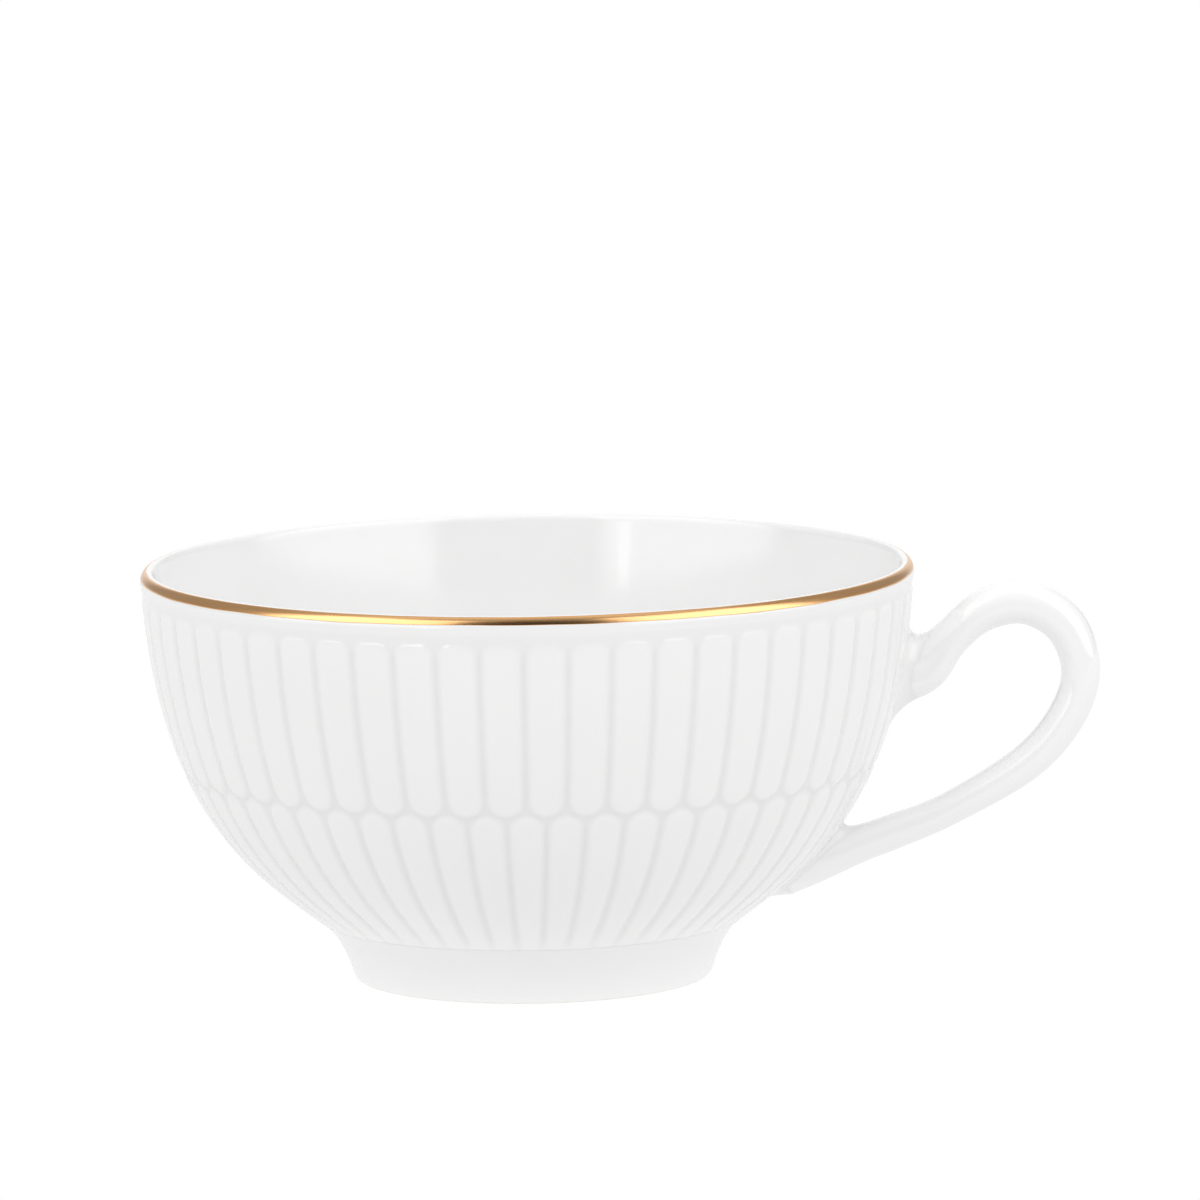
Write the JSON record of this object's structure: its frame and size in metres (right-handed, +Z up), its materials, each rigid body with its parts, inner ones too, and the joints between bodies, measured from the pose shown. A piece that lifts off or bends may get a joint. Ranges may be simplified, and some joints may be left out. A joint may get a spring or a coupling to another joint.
{
  "type": "teacup",
  "caption": "Round porcelain teacup with a fluted bowl, a flared foot ring, a gilded lip and one looped side handle.",
  "frame": {"origin": "on the surface the cup stands on, under the middle of the whole cup with its handle; the cup's own axis is 12.3 mm from it towards -X", "axes": "+Z up along the cup's axis, +X from the cup's axis to the handle"},
  "size_m": [0.1296, 0.105, 0.056],
  "materials": {
    "bowl_glaze": "clear gloss glaze over white porcelain, a little greyer where it pools in the grooves",
    "foot_glaze": "clear gloss glaze, wiped off the rest face, which is matt fired porcelain",
    "handle_glaze": "clear gloss glaze over white porcelain",
    "slip": "fired slip under the same clear glaze",
    "gold": "burnished gold laid by brush over the glaze"
  },
  "bodies": {
    "root": {"cup_bowl": "bowl_glaze", "foot_slip_seam": "slip", "foot_ring": "foot_glaze", "handle": "handle_glaze", "upper_slip_joint": "slip", "lower_slip_joint": "slip", "rim_gold_band": "gold"}
  },
  "joints": []
}
